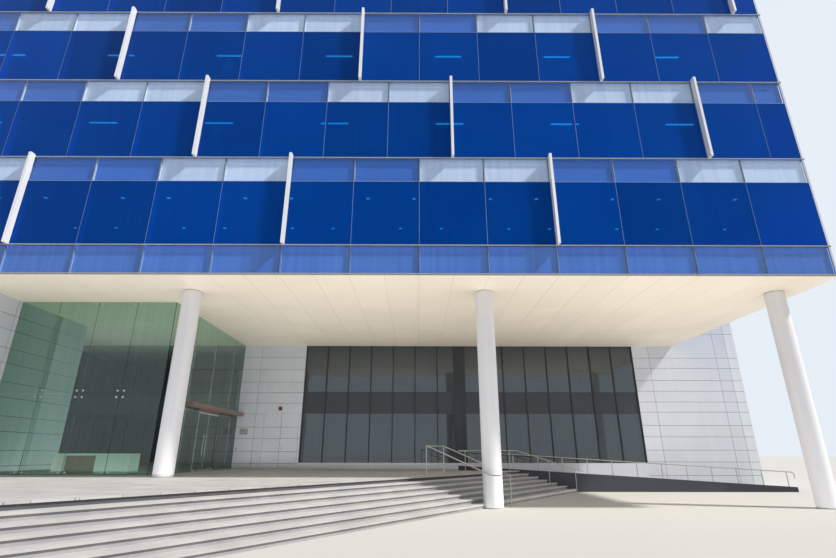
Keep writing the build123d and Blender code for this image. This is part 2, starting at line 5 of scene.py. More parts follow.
import bmesh
import bpy
from mathutils import Matrix, Vector


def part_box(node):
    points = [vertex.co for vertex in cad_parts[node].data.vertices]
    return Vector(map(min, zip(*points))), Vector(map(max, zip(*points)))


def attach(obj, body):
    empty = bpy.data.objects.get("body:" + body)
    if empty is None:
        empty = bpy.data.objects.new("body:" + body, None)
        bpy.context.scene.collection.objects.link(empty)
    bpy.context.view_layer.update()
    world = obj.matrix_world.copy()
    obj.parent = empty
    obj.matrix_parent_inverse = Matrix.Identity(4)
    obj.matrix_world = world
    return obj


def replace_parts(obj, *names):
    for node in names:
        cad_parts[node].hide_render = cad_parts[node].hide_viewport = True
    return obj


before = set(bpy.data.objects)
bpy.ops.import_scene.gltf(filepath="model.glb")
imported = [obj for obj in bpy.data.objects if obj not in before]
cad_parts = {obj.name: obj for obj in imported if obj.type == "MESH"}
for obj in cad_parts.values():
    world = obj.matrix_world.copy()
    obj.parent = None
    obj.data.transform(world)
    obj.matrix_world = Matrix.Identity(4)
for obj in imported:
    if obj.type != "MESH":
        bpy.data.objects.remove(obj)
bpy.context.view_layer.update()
scene = bpy.context.scene

# The studio: a wide pale floor, a pale backdrop that lights softly from all sides, and one soft
# sun from high on the right, which the glass doesn't mirror. Two wide lamps, just over the podium
# and the floor beside it, add the light that a bright floor throws up under the box.
scene.view_settings.view_transform = "Standard"

world = bpy.data.worlds.new("studio_world")
scene.world = world
world.use_nodes = True
nodes, links = world.node_tree.nodes, world.node_tree.links
nodes.clear()
world_out = nodes.new("ShaderNodeOutputWorld")
backdrop = nodes.new("ShaderNodeBackground")
backdrop.inputs["Color"].default_value = (0.80, 0.86, 0.93, 1)
daylight = nodes.new("ShaderNodeBackground")
daylight.inputs["Color"].default_value = (0.84, 0.91, 1.0, 1)
daylight.inputs["Strength"].default_value = 0.58
ray = nodes.new("ShaderNodeLightPath")
camera_or_glossy = nodes.new("ShaderNodeMath")
camera_or_glossy.operation = "MAXIMUM"
or_transmission = nodes.new("ShaderNodeMath")
or_transmission.operation = "MAXIMUM"
choose = nodes.new("ShaderNodeMixShader")
links.new(ray.outputs["Is Camera Ray"], camera_or_glossy.inputs[0])
links.new(ray.outputs["Is Glossy Ray"], camera_or_glossy.inputs[1])
links.new(camera_or_glossy.outputs[0], or_transmission.inputs[0])
links.new(ray.outputs["Is Transmission Ray"], or_transmission.inputs[1])
links.new(or_transmission.outputs[0], choose.inputs[0])
links.new(daylight.outputs[0], choose.inputs[1])
links.new(backdrop.outputs[0], choose.inputs[2])
links.new(choose.outputs[0], world_out.inputs["Surface"])

sun = bpy.data.objects.new("soft_sun", bpy.data.lights.new("soft_sun", "SUN"))
sun.data.energy = 5.0
sun.data.angle = math.radians(4)
sun.data.color = (1.0, 0.95, 0.88)
sun_direction = Vector((-0.64, 0.19, -0.70))
sun.rotation_euler = sun_direction.to_track_quat("-Z", "Y").to_euler()
sun.visible_glossy = False
sun.visible_transmission = False
scene.collection.objects.link(sun)

soffit_low, soffit_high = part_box("soffit")
podium_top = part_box("podium_paving")[1].z
bounce_depth = 17.0
bounce_from_rear = 0.5
podium_share = 0.62
podium_end = soffit_low.x + podium_share * (soffit_high.x - soffit_low.x)
for name, begin, end, height, watts_per_square_metre in (
        ("podium_bounce", soffit_low.x, podium_end, podium_top + 0.08, 2.6),
        ("floor_bounce", podium_end, soffit_high.x, 0.03, 2.8)):
    bounce = bpy.data.objects.new(name, bpy.data.lights.new(name, "AREA"))
    bounce.data.shape = "RECTANGLE"
    bounce.data.size = end - begin
    bounce.data.size_y = bounce_depth
    bounce.data.energy = watts_per_square_metre * bounce_depth * (end - begin)
    bounce.data.color = (1.0, 0.97, 0.93)
    bounce.location = ((begin + end) / 2, soffit_high.y - bounce_from_rear - bounce_depth / 2, height)
    bounce.rotation_euler = (math.pi, 0, 0)
    for ray_kind in ("camera", "glossy", "transmission"):
        setattr(bounce, f"visible_{ray_kind}", False)
    scene.collection.objects.link(bounce)

floor_mesh = bpy.data.meshes.new("studio_floor")
floor_reach = 400
floor_corners = [(x * floor_reach, y * floor_reach, 0) for x, y in ((-1, -1), (1, -1), (1, 1), (-1, 1))]
floor_mesh.from_pydata(floor_corners, [], [(0, 1, 2, 3)])
studio_floor = bpy.data.objects.new("studio_floor", floor_mesh)
scene.collection.objects.link(studio_floor)
floor_paint = bpy.data.materials.new("studio_floor_paint")
floor_paint.use_nodes = True
floor_shader = floor_paint.node_tree.nodes["Principled BSDF"]
floor_shader.inputs["Base Color"].default_value = (0.50, 0.49, 0.47, 1)
floor_shader.inputs["Roughness"].default_value = 0.9
floor_mesh.materials.append(floor_paint)

# The camera stands in front of the right-hand half, at eye level, and looks up. Its place is
# measured from the edges of the glass.
glass_low, glass_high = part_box("storey_glass")
camera = bpy.data.objects.new("camera", bpy.data.cameras.new("camera"))
camera.data.sensor_width = 36
camera.data.lens = 21.09
from_right_edge, from_glass, eye_height = 14.489, 15.727, 1.666
camera.location = (glass_high.x - from_right_edge, glass_low.y - from_glass, eye_height)
pitch, yaw, roll = math.radians(19.64), math.radians(0.175), math.radians(0.078)
aim = Matrix.Rotation(-yaw, 3, "Z") @ Matrix.Rotation(math.radians(90) + pitch, 3, "X")
camera.rotation_euler = (aim @ Matrix.Rotation(roll, 3, "Z")).to_euler()
scene.collection.objects.link(camera)
scene.camera = camera


# Weathering that several finishes share: broad soft patches, rain streaks that run down, and
# fine grime. It gives a mask from 0 to 1 and a fine height for bump.
def weather_group():
    group = bpy.data.node_groups.new("weathering", "ShaderNodeTree")
    face = group.interface
    for name, value in (("Patch Size", 2.0), ("Streaks", 0.5), ("Grain Size", 0.01)):
        face.new_socket(name, in_out="INPUT", socket_type="NodeSocketFloat").default_value = value
    for name in ("Grime", "Grain"):
        face.new_socket(name, in_out="OUTPUT", socket_type="NodeSocketFloat")
    n, l = group.nodes, group.links
    taken, given = n.new("NodeGroupInput"), n.new("NodeGroupOutput")
    place = n.new("ShaderNodeTexCoord")

    def inverse(socket):
        divide = n.new("ShaderNodeMath")
        divide.operation = "DIVIDE"
        divide.inputs[0].default_value = 1.0
        l.new(socket, divide.inputs[1])
        return divide.outputs[0]

    patches = n.new("ShaderNodeTexNoise")
    patches.inputs["Detail"].default_value = 5
    l.new(place.outputs["Object"], patches.inputs["Vector"])
    l.new(inverse(taken.outputs["Patch Size"]), patches.inputs["Scale"])
    drawn_out = n.new("ShaderNodeMapping")
    drawn_out.inputs["Scale"].default_value = (6.0, 6.0, 0.25)
    l.new(place.outputs["Object"], drawn_out.inputs["Vector"])
    streaks = n.new("ShaderNodeTexNoise")
    streaks.inputs["Scale"].default_value = 1.0
    streaks.inputs["Detail"].default_value = 4
    l.new(drawn_out.outputs[0], streaks.inputs["Vector"])
    blend = n.new("ShaderNodeMix")
    l.new(taken.outputs["Streaks"], blend.inputs["Factor"])
    l.new(patches.outputs["Fac"], blend.inputs["A"])
    l.new(streaks.outputs["Fac"], blend.inputs["B"])
    spread = n.new("ShaderNodeMapRange")
    spread.inputs["From Min"].default_value = 0.35
    spread.inputs["From Max"].default_value = 0.68
    l.new(blend.outputs["Result"], spread.inputs["Value"])
    l.new(spread.outputs["Result"], given.inputs["Grime"])
    grain = n.new("ShaderNodeTexNoise")
    grain.inputs["Detail"].default_value = 3
    l.new(place.outputs["Object"], grain.inputs["Vector"])
    l.new(inverse(taken.outputs["Grain Size"]), grain.inputs["Scale"])
    l.new(grain.outputs["Fac"], given.inputs["Grain"])
    return group


weathering = weather_group()


def weathered(name, clean, soiled, rough, patch=2.0, streaks=0.4, grain=0.01, bump=0.1,
              metallic=0.0, piece_tone=0.0, coat=0.0):
    """An opaque finish that drifts from its clean colour to its soiled one, piece by piece."""
    finish = bpy.data.materials.new(name)
    finish.use_nodes = True
    n, l = finish.node_tree.nodes, finish.node_tree.links
    shader = n["Principled BSDF"]
    weather = n.new("ShaderNodeGroup")
    weather.node_tree = weathering
    weather.inputs["Patch Size"].default_value = patch
    weather.inputs["Streaks"].default_value = streaks
    weather.inputs["Grain Size"].default_value = grain
    colour = n.new("ShaderNodeMix")
    colour.data_type = "RGBA"
    colour.inputs["A"].default_value = (*clean, 1)
    colour.inputs["B"].default_value = (*soiled, 1)
    l.new(weather.outputs["Grime"], colour.inputs["Factor"])
    tone = n.new("ShaderNodeHueSaturation")
    geometry = n.new("ShaderNodeNewGeometry")
    per_piece = n.new("ShaderNodeMapRange")
    per_piece.inputs["To Min"].default_value = 1 - piece_tone
    per_piece.inputs["To Max"].default_value = 1 + piece_tone
    l.new(geometry.outputs["Random Per Island"], per_piece.inputs["Value"])
    l.new(per_piece.outputs["Result"], tone.inputs["Value"])
    l.new(colour.outputs["Result"], tone.inputs["Color"])
    l.new(tone.outputs["Color"], shader.inputs["Base Color"])
    sheen = n.new("ShaderNodeMapRange")
    sheen.inputs["To Min"].default_value = rough
    sheen.inputs["To Max"].default_value = min(1.0, rough + 0.18)
    l.new(weather.outputs["Grime"], sheen.inputs["Value"])
    l.new(sheen.outputs["Result"], shader.inputs["Roughness"])
    raised = n.new("ShaderNodeBump")
    raised.inputs["Strength"].default_value = bump
    raised.inputs["Distance"].default_value = 0.004
    l.new(weather.outputs["Grain"], raised.inputs["Height"])
    l.new(raised.outputs["Normal"], shader.inputs["Normal"])
    shader.inputs["Metallic"].default_value = metallic
    shader.inputs["Coat Weight"].default_value = coat
    return finish


glass_roughness = 0.01


def glazing(name, clear, dusty, through=1.0, sky_reflection_tint=(1, 1, 1), strength=0.5,
            shadow=(0.8, 0.9, 1.0), piece_tone=0.0, ior=1.5, streaks=0.7):
    """Glass with a thin film of dust, which lets tinted daylight through to what is behind it.
    A coloured sky_reflection_tint paints a sky colour into its reflection.
    """
    finish = weathered(name, clear, dusty, glass_roughness, patch=3.0, streaks=streaks, bump=0.0,
                       piece_tone=piece_tone)
    n, l = finish.node_tree.nodes, finish.node_tree.links
    shader = n["Principled BSDF"]
    for link in list(shader.inputs["Roughness"].links):
        l.remove(link)
    shader.inputs["Roughness"].default_value = glass_roughness
    shader.inputs["Transmission Weight"].default_value = through
    shader.inputs["IOR"].default_value = ior
    shader.inputs["Specular IOR Level"].default_value = strength
    shader.inputs["Specular Tint"].default_value = (*sky_reflection_tint, 1)
    passing = n.new("ShaderNodeBsdfTransparent")
    passing.inputs["Color"].default_value = (*shadow, 1)
    path = n.new("ShaderNodeLightPath")
    either = n.new("ShaderNodeMixShader")
    l.new(path.outputs["Is Shadow Ray"], either.inputs[0])
    l.new(shader.outputs[0], either.inputs[1])
    l.new(passing.outputs[0], either.inputs[2])
    l.new(either.outputs[0], n["Material Output"].inputs["Surface"])
    return finish


def paint_node(node, finish):
    """A CAD piece whose shape is right takes its finish."""
    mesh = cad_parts[node].data
    mesh.materials.clear()
    mesh.materials.append(finish)


def block(bm, low, high, slot=0):
    """A rectangular block between two corners, its faces in one material slot."""
    xs, ys, zs = zip(low, high)
    corners = [bm.verts.new((x, y, z)) for z in zs for y in ys for x in xs]
    quads = ((0, 2, 3, 1), (4, 5, 7, 6), (0, 1, 5, 4), (2, 6, 7, 3), (0, 4, 6, 2), (1, 3, 7, 5))
    for quad in quads:
        bm.faces.new([corners[i] for i in quad]).material_index = slot


def finished(name, bm, finishes, body="building", edge=0.0):
    """A mesh object from the blocks, with eased edges, riding on its body."""
    mesh = bpy.data.meshes.new(name)
    bmesh.ops.recalc_face_normals(bm, faces=bm.faces)
    bm.to_mesh(mesh)
    bm.free()
    for finish in finishes:
        mesh.materials.append(finish)
    piece = bpy.data.objects.new(name, mesh)
    scene.collection.objects.link(piece)
    if edge:
        ease = piece.modifiers.new("eased_edges", "BEVEL")
        ease.width = edge
        ease.segments = 1
        ease.limit_method = "ANGLE"
    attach(piece, body)
    return piece


# Curtain wall. Each storey is glazed in tall panes 2.4 m wide, sealed edge to edge with pale
# silicone. The vision pane is blue solar-control glass; part of its deep blue is a painted
# reflection of a blue sky. The spandrel pane over it is clear, so that the coloured panels of the
# shadow box show. The joints shift half a pane a storey.
edge_low, edge_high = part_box("skirt_and_parapet_glass")
panel_width = 2.4
pane_joint = 0.010
half_joint = pane_joint / 2
cap_gap = 0.006
glass_thickness = 0.03
sealant_recess = 0.004
storey_height = 3.55
spandrel_height = 1.005
vision_height = storey_height - spandrel_height
post_width = 0.07
least_pane = 0.06
tower_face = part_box("tower_end_walls")[0]
first_floor = glass_low.z
roof_level = first_floor + 4 * storey_height

# A face of the box: its start, its direction, its outward side, its length and its glass end
facades = (
    (Vector((glass_low.x, glass_low.y, 0)), Vector((1, 0, 0)), Vector((0, -1, 0)),
     glass_high.x - glass_low.x, glass_high.x - glass_low.x - post_width),
    (Vector((glass_low.x, glass_high.y, 0)), Vector((1, 0, 0)), Vector((0, 1, 0)),
     tower_face.x - glass_low.x, tower_face.x - glass_low.x),
    (Vector((glass_low.x, glass_low.y, 0)), Vector((0, 1, 0)), Vector((-1, 0, 0)),
     glass_high.y - glass_low.y, glass_high.y - glass_low.y - post_width),
    (Vector((glass_high.x, glass_low.y, 0)), Vector((0, 1, 0)), Vector((1, 0, 0)),
     tower_face.y - glass_low.y, tower_face.y - glass_low.y),
)


def facade_joints(length, level):
    """Distances along a face to the upright joints of a storey."""
    shift = panel_width / 2 if level % 2 == 0 else panel_width
    count = int((length - shift - least_pane) // panel_width) + 1
    return [shift + i * panel_width for i in range(count)]


def facade_block(bm, face, begin, end, behind, front, bottom, top, slot=0):
    """A block on a face of the box, given along it and by its depths behind the glass."""
    start, along, outward = face[:3]
    a = start + along * begin - outward * front
    b = start + along * end - outward * behind
    low = (min(a.x, b.x), min(a.y, b.y), bottom)
    high = (max(a.x, b.x), max(a.y, b.y), top)
    block(bm, low, high, slot)


# Its transmission weight is 0.62; the rest is a flat diffuse blue, and its reflection is tinted blue:
# both are a painted reflection of a blue sky, over the glass's own blue tint.
vision_glass = glazing("blue_glass_painted_sky_reflection", (0.001, 0.092, 0.49), (0.003, 0.112, 0.55), through=0.62,
                       sky_reflection_tint=(0.06, 0.34, 1.0), strength=0.12, shadow=(0.30, 0.48, 0.80),
                       piece_tone=0.14, ior=1.25, streaks=0.3)
# The spandrel glass's reflection is tinted blue: a painted sky reflection.
spandrel_glass = glazing("clear_spandrel_glass", (0.94, 0.97, 1.0), (0.88, 0.93, 0.99),
                         sky_reflection_tint=(0.25, 0.55, 1.0), shadow=(0.95, 0.98, 1.0), ior=1.35)
pale_silicone = weathered("pale_silicone", (0.50, 0.57, 0.68), (0.42, 0.49, 0.60), 0.5,
                           grain=0.004)
panes = bmesh.new()
sealant = bmesh.new()
levels = [(i, first_floor + i * storey_height, storey_height) for i in range(4)]
for face in facades:
    for level, bottom, height in levels:
        edges = [post_width, *facade_joints(face[3], level), face[4]]
        middle, top = bottom + vision_height, bottom + height
        for begin, end in zip(edges, edges[1:]):
            left, right = begin + half_joint, end - half_joint
            facade_block(panes, face, left, right, glass_thickness, 0,
                         bottom + cap_gap, middle - half_joint)
            facade_block(panes, face, left, right, glass_thickness, 0,
                         middle + half_joint, top - cap_gap, 1)
        for joint in edges[1:-1]:
            facade_block(sealant, face, joint - half_joint, joint + half_joint,
                         glass_thickness - sealant_recess, sealant_recess, bottom, top)
        facade_block(sealant, face, edges[0], edges[-1], glass_thickness - sealant_recess,
                     sealant_recess, middle - half_joint, middle + half_joint)
storey_panes = finished("storey_panes", panes, [vision_glass, spandrel_glass], edge=0.002)
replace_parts(storey_panes, "storey_glass")
finished("storey_sealant", sealant, [pale_silicone])

# Skirt below the first storey and parapet above the last: the same clear panes over pale blue
# panels, so that both read as lighter bands.
# The skirt glass's reflection is tinted pale blue: a painted sky reflection.
skirt_glass = glazing("pale_skirt_glass", (0.62, 0.76, 1.0), (0.55, 0.68, 0.92),
                      sky_reflection_tint=(0.7, 0.85, 1.0), shadow=(0.7, 0.8, 0.95))
panes = bmesh.new()
sealant = bmesh.new()
skirt_top = first_floor - 0.012
bands = ((0, edge_low.z, skirt_top), (4, roof_level, edge_high.z))
for face in facades:
    for level, bottom, top in bands:
        edges = [post_width, *facade_joints(face[3], level), face[4]]
        for begin, end in zip(edges, edges[1:]):
            facade_block(panes, face, begin + half_joint, end - half_joint,
                         glass_thickness, 0, bottom + cap_gap, top - cap_gap)
        for joint in edges[1:-1]:
            facade_block(sealant, face, joint - half_joint, joint + half_joint,
                         glass_thickness - sealant_recess, sealant_recess, bottom, top)
edge_panes = finished("skirt_and_parapet_panes", panes, [skirt_glass], edge=0.002)
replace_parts(edge_panes, "skirt_and_parapet_glass")
finished("skirt_and_parapet_sealant", sealant, [pale_silicone])

# Shadow box panels: powder-coated sheet behind the glass of each floor edge, blue and white in
# a rhythm that follows the fins, and pale blue in the skirt and parapet.
blue_panel = weathered("blue_panel_paint", (0.035, 0.145, 0.58), (0.050, 0.160, 0.56), 0.45,
                       patch=1.5, streaks=0.8, piece_tone=0.06)
white_panel = weathered("white_panel_paint", (0.70, 0.79, 0.97), (0.61, 0.71, 0.91), 0.45,
                        patch=1.5, streaks=0.8, piece_tone=0.06)
skirt_panel = weathered("pale_blue_panel_paint", (0.19, 0.38, 0.74), (0.15, 0.33, 0.68), 0.45,
                        patch=1.5, streaks=0.8, piece_tone=0.08)
box_depth = 0.08
sheet_thickness = 0.008
box_end = box_depth + sheet_thickness + 0.001
corner_reach = 0.4


def sheets_close_behind(node):
    """The panels of a CAD piece, set at the depth behind the glass that their shade shows."""
    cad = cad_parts[node]
    bm = bmesh.new()
    bm.from_mesh(cad.data)
    bmesh.ops.transform(bm, matrix=cad.matrix_world, verts=bm.verts)
    bmesh.ops.remove_doubles(bm, verts=bm.verts, dist=0.0001)
    sheets = bmesh.new()
    seen = set()
    for start in bm.verts:
        if start in seen:
            continue
        seen.add(start)
        group = [start]
        for vert in group:
            for edge in vert.link_edges:
                other = edge.other_vert(vert)
                if other not in seen:
                    seen.add(other)
                    group.append(other)
        low = [min(v.co[axis] for v in group) for axis in range(3)]
        high = [max(v.co[axis] for v in group) for axis in range(3)]
        across = 0 if high[0] - low[0] < high[1] - low[1] else 1
        along = 1 - across
        if low[across] - glass_low[across] < glass_high[across] - high[across]:
            low[across] = glass_low[across] + box_depth
            high[across] = low[across] + sheet_thickness
        else:
            high[across] = glass_high[across] - box_depth
            low[across] = high[across] - sheet_thickness
        if low[along] - glass_low[along] < corner_reach:
            low[along] = glass_low[along] + box_end
        if glass_high[along] - high[along] < corner_reach:
            high[along] = glass_high[along] - box_end
        block(sheets, low, high)
    bm.free()
    return sheets


for name, node, finish in (("blue_panel_sheets", "blue_spandrel_panels", blue_panel),
                           ("white_panel_sheets", "white_spandrel_panels", white_panel),
                           ("skirt_and_parapet_sheets", "skirt_and_parapet_panels", skirt_panel)):
    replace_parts(finished(name, sheets_close_behind(node), [finish]), node)

# Lids of the shadow boxes: thin pressed plates that close each box against the glass at the
# floor line and at the head of the vision pane. They are painted dark blue so that little light
# bounces off them: painted shade, keeping the inside of the boxes dark and blue.
shade_darkening_lid_paint = weathered("shade_darkening_lid_paint", (0.24, 0.38, 0.66), (0.20, 0.32, 0.58), 0.5)
lid_thickness = 0.008
lid_from_top = 0.003
lid_from_end = 0.05
lids = bmesh.new()
for face in facades:
    for level, bottom, height in levels:
        middle, top = bottom + vision_height, bottom + height - lid_from_top
        for z_low, z_high in ((middle - lid_thickness / 2, middle + lid_thickness / 2),
                              (top - lid_thickness, top)):
            facade_block(lids, face, box_end, face[4] - lid_from_end, box_depth,
                         glass_thickness + 0.001, z_low, z_high)
finished("shadow_box_lids", lids, [shade_darkening_lid_paint])

# Aluminium of the curtain wall: uprights behind the joints, corner posts, the caps that run
# round at each floor line and the coping, all anodised in cool greys. The caps and coping are
# painted darker than the metal, as painted shade of their undersides.
upright_aluminium = weathered("upright_aluminium", (0.70, 0.75, 0.82), (0.60, 0.66, 0.74), 0.4,
                              metallic=0.1)
cap_aluminium = weathered("cap_aluminium", (0.36, 0.37, 0.40), (0.28, 0.29, 0.32), 0.38,
                          metallic=0.35, streaks=0.7, piece_tone=0.05)
post_aluminium = weathered("post_aluminium", (0.62, 0.66, 0.72), (0.50, 0.53, 0.58), 0.38,
                           metallic=0.35, streaks=0.8)
paint_node("storey_mullions", upright_aluminium)
paint_node("skirt_and_parapet_mullions", upright_aluminium)
paint_node("corner_posts", post_aluminium)
paint_node("floor_line_caps", cap_aluminium)
paint_node("parapet_coping", cap_aluminium)

# Fins: extruded aluminium blades, one for every fourth pane, standing off the glass on small
# brackets of the same metal.
fin_aluminium = weathered("fin_aluminium", (0.86, 0.87, 0.88), (0.76, 0.77, 0.79), 0.36,
                          metallic=0.25, streaks=0.9, piece_tone=0.04)
paint_node("fins", fin_aluminium)
fin_pitch = 4
first_fin_of_storey = (2, 0, 3, 1)
fin_width = 0.095
cap_depth = 0.025
bracket_inset = 0.02
bracket_height = 0.10
bracket_rises = (0.35, 1.72, 3.10)
brackets = bmesh.new()
for face in facades:
    for level, bottom, height in levels:
        for joint in facade_joints(face[3], level)[first_fin_of_storey[level]::fin_pitch]:
            for rise in bracket_rises:
                facade_block(brackets, face, joint + bracket_inset, joint + fin_width - bracket_inset,
                             -cap_depth - 0.001, 0, bottom + rise, bottom + rise + bracket_height)
finished("fin_brackets", brackets, [fin_aluminium])

# Inside the storeys: concrete floors, suspended ceilings and square columns, seen dimly
# through the glass, with rows of strip lights and downlights in the ceilings.
cast_concrete = weathered("cast_concrete", (0.46, 0.46, 0.44), (0.38, 0.38, 0.37), 0.75,
                          grain=0.02, bump=0.3)
ceiling_tile = weathered("ceiling_tile", (0.56, 0.60, 0.64), (0.50, 0.54, 0.58), 0.8)
plaster_white = weathered("plaster_white", (0.66, 0.67, 0.67), (0.58, 0.59, 0.60), 0.7)
for node in ("floor_slabs", "transfer_slab", "rear_block_floors"):
    paint_node(node, cast_concrete)
paint_node("ceilings", ceiling_tile)
paint_node("upper_columns", plaster_white)

lamp_glow = weathered("lamp_diffuser", (0.95, 0.97, 1.0), (0.85, 0.88, 0.92), 0.5)
lamp_shader = lamp_glow.node_tree.nodes["Principled BSDF"]
lamp_shader.inputs["Emission Color"].default_value = (1.0, 0.5, 0.25, 1)
lamp_shader.inputs["Emission Strength"].default_value = 9.0
levels_with_strips = (1, 2)
strip_length, strip_width, strip_drop = 1.15, 0.07, 0.02
spot_radius, spot_depth, spot_drop = 0.07, 0.012, 0.005
spot_offsets = (-0.9, 2.1)
first_lamp_x, first_lamp_y = 1.9, 1.3
lamp_pitch, row_pitch, row_stagger = 4.8, 2.7, 1.2
clear_of_right, clear_of_rear = 1.5, 1.0
lamps = bmesh.new()
for level, bottom, height in levels:
    under = bottom + vision_height
    row = 0
    y = glass_low.y + first_lamp_y
    while y < glass_high.y - clear_of_rear:
        x = glass_low.x + first_lamp_x + (row % 2) * row_stagger
        while x < glass_high.x - clear_of_right:
            if level in levels_with_strips:
                block(lamps, (x, y, under - strip_drop),
                      (x + strip_length, y + strip_width, under + 0.001))
            else:
                for offset in spot_offsets:
                    spot = Matrix.Translation((x + offset, y, under - spot_drop))
                    bmesh.ops.create_cone(lamps, cap_ends=True, segments=12, radius1=spot_radius,
                                          radius2=spot_radius, depth=spot_depth, matrix=spot)
            x += lamp_pitch
        y += row_pitch
        row += 1
finished("ceiling_lamps", lamps, [lamp_glow])

# Soffit: cream-painted metal panels 1.2 m wide, running back from the facade, with open joints
# between them that show a darker backing.
soffit_cream = weathered("soffit_cream_paint", (0.86, 0.79, 0.68), (0.80, 0.73, 0.62), 0.5,
                         patch=3.0, streaks=0.1, piece_tone=0.02)
soffit_shadow = weathered("soffit_joint_grey", (0.50, 0.46, 0.39), (0.44, 0.40, 0.34), 0.8)
soffit_panel_width = 1.2
soffit_joint = 0.008
soffit_lengths = 3
soffit_length = (soffit_high.y - soffit_low.y) / soffit_lengths
board_thickness = 0.02
trim_inset = 0.01
backing_rise = 0.012
boards = bmesh.new()
x = soffit_low.x
while x < soffit_high.x - trim_inset:
    x_end = min(x + soffit_panel_width, soffit_high.x)
    for i in range(soffit_lengths):
        y = soffit_low.y + i * soffit_length
        block(boards, (x + soffit_joint / 2, y + soffit_joint / 2, soffit_low.z),
              (x_end - soffit_joint / 2, y + soffit_length - soffit_joint / 2,
               soffit_low.z + board_thickness))
    x = x_end
block(boards, (soffit_low.x + trim_inset, soffit_low.y + trim_inset, soffit_low.z + backing_rise),
      (soffit_high.x - trim_inset, soffit_high.y - 0.002, soffit_high.z - 0.001), 1)
soffit_boards = finished("soffit_boards", boards, [soffit_cream, soffit_shadow], edge=0.002)
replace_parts(soffit_boards, "soffit")

# Front columns: concrete cased in white-painted steel, with a narrow shadow gap at the head
# and a thin seam round the casing where its lengths meet.
column_white = weathered("column_white_paint", (0.72, 0.72, 0.75), (0.66, 0.66, 0.69), 0.42,
                         patch=1.2, streaks=0.7, bump=0.05)
column_gap = weathered("column_gap_grey", (0.50, 0.46, 0.40), (0.44, 0.40, 0.35), 0.8)
column_low, column_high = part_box("front_columns")
core_radius = (column_high.y - column_low.y) / 2
casing_thickness = 0.01
column_radius = core_radius + casing_thickness
ring_points = 96
foot_gap, head_gap = 0.02, 0.03
seam_edge, seam_floor = 0.003, 0.002
foot_radius = seam_radius = column_radius - 0.004
head_radius = column_radius - 0.012
column_y = (column_low.y + column_high.y) / 2
column_right = column_high.x - core_radius
column_left = column_low.x + core_radius
column_middle = (column_right + column_left) / 2
column_feet = ((column_right, 0.0), (column_middle, 0.0), (column_left, podium_top))
casing = bmesh.new()
for x, foot in column_feet:
    seam = foot + (column_high.z - foot) / 2
    head = column_high.z - head_gap
    profile = [
        (foot_radius, foot, 1), (foot_radius, foot + foot_gap, 1),
        (column_radius, foot + foot_gap + 0.002, 0), (column_radius, seam - seam_edge, 0),
        (seam_radius, seam - seam_floor, 0), (seam_radius, seam + seam_floor, 0),
        (column_radius, seam + seam_edge, 0), (column_radius, head, 0),
        (head_radius, head + 0.001, 1), (head_radius, column_high.z, 1),
    ]
    rings = []
    for radius, z, slot in profile:
        ring = []
        for i in range(ring_points):
            angle = math.tau * i / ring_points
            point = (x + radius * math.cos(angle), column_y + radius * math.sin(angle), z)
            ring.append(casing.verts.new(point))
        rings.append((ring, slot))
    for (lower, slot), (upper, _) in zip(rings, rings[1:]):
        for i in range(ring_points):
            j = (i + 1) % ring_points
            quad = casing.faces.new((lower[i], lower[j], upper[j], upper[i]))
            quad.material_index = slot
            quad.smooth = True
    casing.faces.new(rings[0][0][::-1])
    casing.faces.new(rings[-1][0])
column_casings = finished("column_casings", casing, [column_white, column_gap])
split_edges = column_casings.modifiers.new("crisp_edges", "EDGE_SPLIT")
split_edges.split_angle = math.radians(40)
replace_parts(column_casings, "front_columns")

# White rainscreen: thin metal cassettes in alternating courses, hung on a dark backing with
# open joints. Each wall's courses and upright joints are where the real wall has them.
cladding_white = weathered("cladding_white", (0.63, 0.66, 0.73), (0.57, 0.60, 0.67), 0.42,
                           patch=2.5, streaks=0.3, piece_tone=0.03)
cladding_backing = weathered("cladding_backing", (0.10, 0.11, 0.12), (0.07, 0.075, 0.08), 0.8)
cladding_joint = 0.016
cladding_depth = 0.03
air_gap = 0.004
least_cassette = 0.05
least_course = 0.1
course_pair = (0.684, 0.564)


def courses(bottom, top, from_level):
    """Levels of the course joints between two heights, counted both ways from a known one."""
    levels_found = []
    z, i = from_level, 0
    while z < top:
        levels_found.append(z)
        z += course_pair[i % 2]
        i += 1
    z, i = from_level, 1
    while z > bottom:
        z -= course_pair[i % 2]
        levels_found.append(z)
        i += 1
    inside = sorted(z for z in levels_found if bottom + least_course < z < top - least_course)
    return [bottom, *inside, top]


def clad(bm, low, high, side, uprights, levels_used, trim_from=None):
    """Cassettes on one face of a wall: side is an axis and a sign, such as ("y", -1)."""
    axis, sign = side
    other = "x" if axis == "y" else "y"
    face = getattr(low if sign < 0 else high, axis)
    begin, end = getattr(low, other), getattr(high, other)
    stops = [begin, *[u for u in uprights if begin + least_cassette < u < end - least_cassette], end]
    half = cladding_joint / 2
    for a, b in zip(stops, stops[1:]):
        for bottom, top in zip(levels_used, levels_used[1:]):
            inner = face - sign * (cladding_depth - air_gap)
            near, far = sorted((face, inner))
            p = a + (half if a > begin else 0)
            q = b - (half if b < end else 0)
            lower = bottom + (half if bottom > low.z else 0)
            upper = top - (half if top < high.z else 0)
            slot = 2 if trim_from and p > trim_from else 0
            if axis == "y":
                block(bm, (p, near, lower), (q, far, upper), slot)
            else:
                block(bm, (near, p, lower), (far, q, upper), slot)


def clad_wall(bm, low, high, faces, trim_from=None):
    """One wall: its dark core, set back behind the cassettes, and the cassettes on its faces."""
    core_low, core_high = low.copy(), high.copy()
    for (axis, sign), _, _ in faces:
        corner = core_low if sign < 0 else core_high
        setattr(corner, axis, getattr(corner, axis) - sign * cladding_depth)
    block(bm, core_low, core_high, 1)
    for side, uprights, levels_used in faces:
        clad(bm, low, high, side, uprights, levels_used, trim_from)


